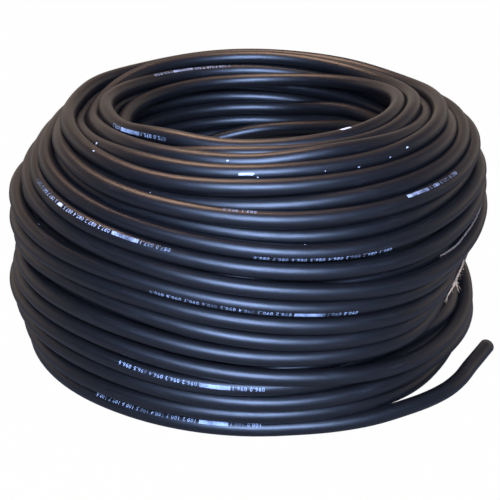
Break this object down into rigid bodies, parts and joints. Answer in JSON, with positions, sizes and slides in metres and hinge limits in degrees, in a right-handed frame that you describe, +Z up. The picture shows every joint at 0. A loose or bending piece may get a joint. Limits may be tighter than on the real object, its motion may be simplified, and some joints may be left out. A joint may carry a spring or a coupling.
{
  "type": "coil of flexible cable",
  "caption": "Free-standing barrel-shaped ring of black rubber-sheathed multicore flexible cable, tied with twine, with one cut end lying loose.",
  "frame": {"origin": "middle of the ring, on the surface that it stands on", "axes": "+Z up along the ring's axis, -Y towards the front with the bottom turn's joint, the loose end lies towards +X and -Y"},
  "size_m": [0.4182, 0.4183, 0.208],
  "materials": {
    "sheath_rubber": "semi-matte",
    "twine": "fibrous",
    "wrap_tape": "matte",
    "filler_rubber": "matte",
    "core_blue": "satin",
    "core_brown": "satin",
    "core_black": "satin",
    "core_grey": "satin",
    "core_green_yellow": "satin",
    "copper": "bright stranded copper"
  },
  "bodies": {
    "root": {"coil_core": "sheath_rubber", "outer_turns": "sheath_rubber", "outer_stretch": "sheath_rubber", "inner_stretch": "sheath_rubber", "twine_tie": "twine", "twine_knot": "twine", "outer_end_sheath": "sheath_rubber", "outer_end_tape": "wrap_tape", "outer_end_filler": "filler_rubber", "outer_core_blue": "core_blue", "outer_core_brown": "core_brown", "outer_core_black": "core_black", "outer_core_grey": "core_grey", "outer_core_earth": "core_green_yellow", "outer_wire_blue": "copper", "outer_wire_brown": "copper", "outer_wire_black": "copper", "outer_wire_grey": "copper", "outer_wire_earth": "copper", "inner_end_sheath": "sheath_rubber", "inner_end_tape": "wrap_tape", "inner_end_filler": "filler_rubber", "inner_core_blue": "core_blue", "inner_core_brown": "core_brown", "inner_core_black": "core_black", "inner_core_grey": "core_grey", "inner_core_earth": "core_green_yellow", "inner_wire_blue": "copper", "inner_wire_brown": "copper", "inner_wire_black": "copper", "inner_wire_grey": "copper", "inner_wire_earth": "copper"}
  },
  "joints": []
}
